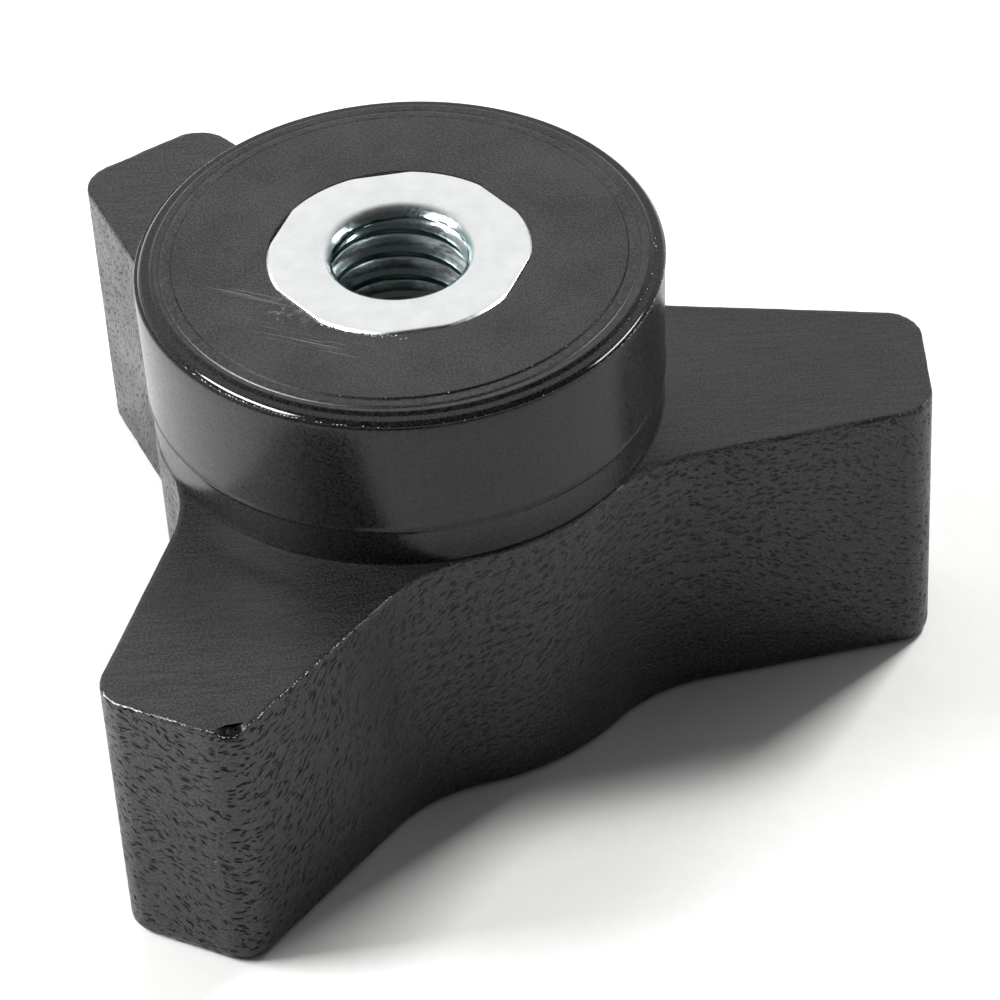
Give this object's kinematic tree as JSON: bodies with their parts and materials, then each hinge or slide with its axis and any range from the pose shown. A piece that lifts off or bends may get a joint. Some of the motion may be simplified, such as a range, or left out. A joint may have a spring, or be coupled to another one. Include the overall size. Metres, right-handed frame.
{
  "type": "three-wing clamping nut",
  "caption": "Black moulded plastic wing nut with a round hub, flat textured wings and a moulded-in threaded steel bush.",
  "frame": {"origin": "centre of the closed face that the nut lies on, on the thread's axis", "axes": "+Z along the thread's axis, out of the threaded hole; one wing lies along +X"},
  "size_m": [0.0409, 0.0466, 0.0242],
  "materials": {
    "black_plastic": "near-black moulded plastic: glossy round hub, fine rubbed wing faces, leather grain on the wing walls",
    "zinc_plated_steel": "bright zinc plating, satin on the end face and shiny in the countersink and thread"
  },
  "bodies": {
    "root": {"knob_moulding": "black_plastic", "threaded_bush": "zinc_plated_steel"}
  },
  "joints": []
}
